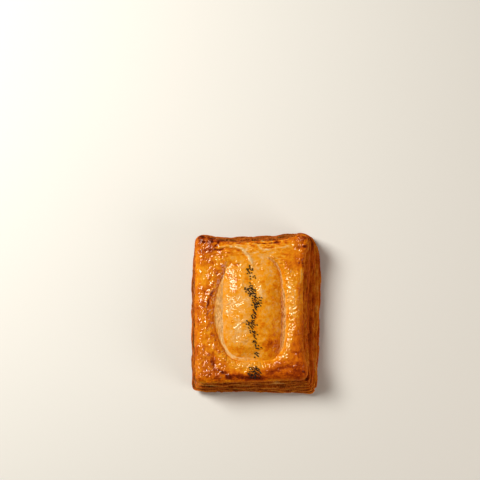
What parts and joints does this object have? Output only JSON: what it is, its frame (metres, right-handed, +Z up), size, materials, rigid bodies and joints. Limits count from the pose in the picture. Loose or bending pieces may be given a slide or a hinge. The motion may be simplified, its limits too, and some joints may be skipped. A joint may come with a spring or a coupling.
{
  "type": "closed rectangular puff-pastry tart",
  "caption": "Closed savory tart of puff pastry: puffed frame round a pressed oval crease, low dome over the filling, flaky leafed sides and poppy seeds in a line.",
  "frame": {"origin": "middle of the flat base", "axes": "+Z up, +Y along the tart's length to its back edge, +X to its right"},
  "size_m": [0.1071, 0.1306, 0.0354],
  "materials": {
    "crust": "baked puff pastry, golden and glossy with egg wash on top, browner and matte at the leaves"
  },
  "bodies": {
    "root": {"pastry": "crust"}
  },
  "joints": []
}
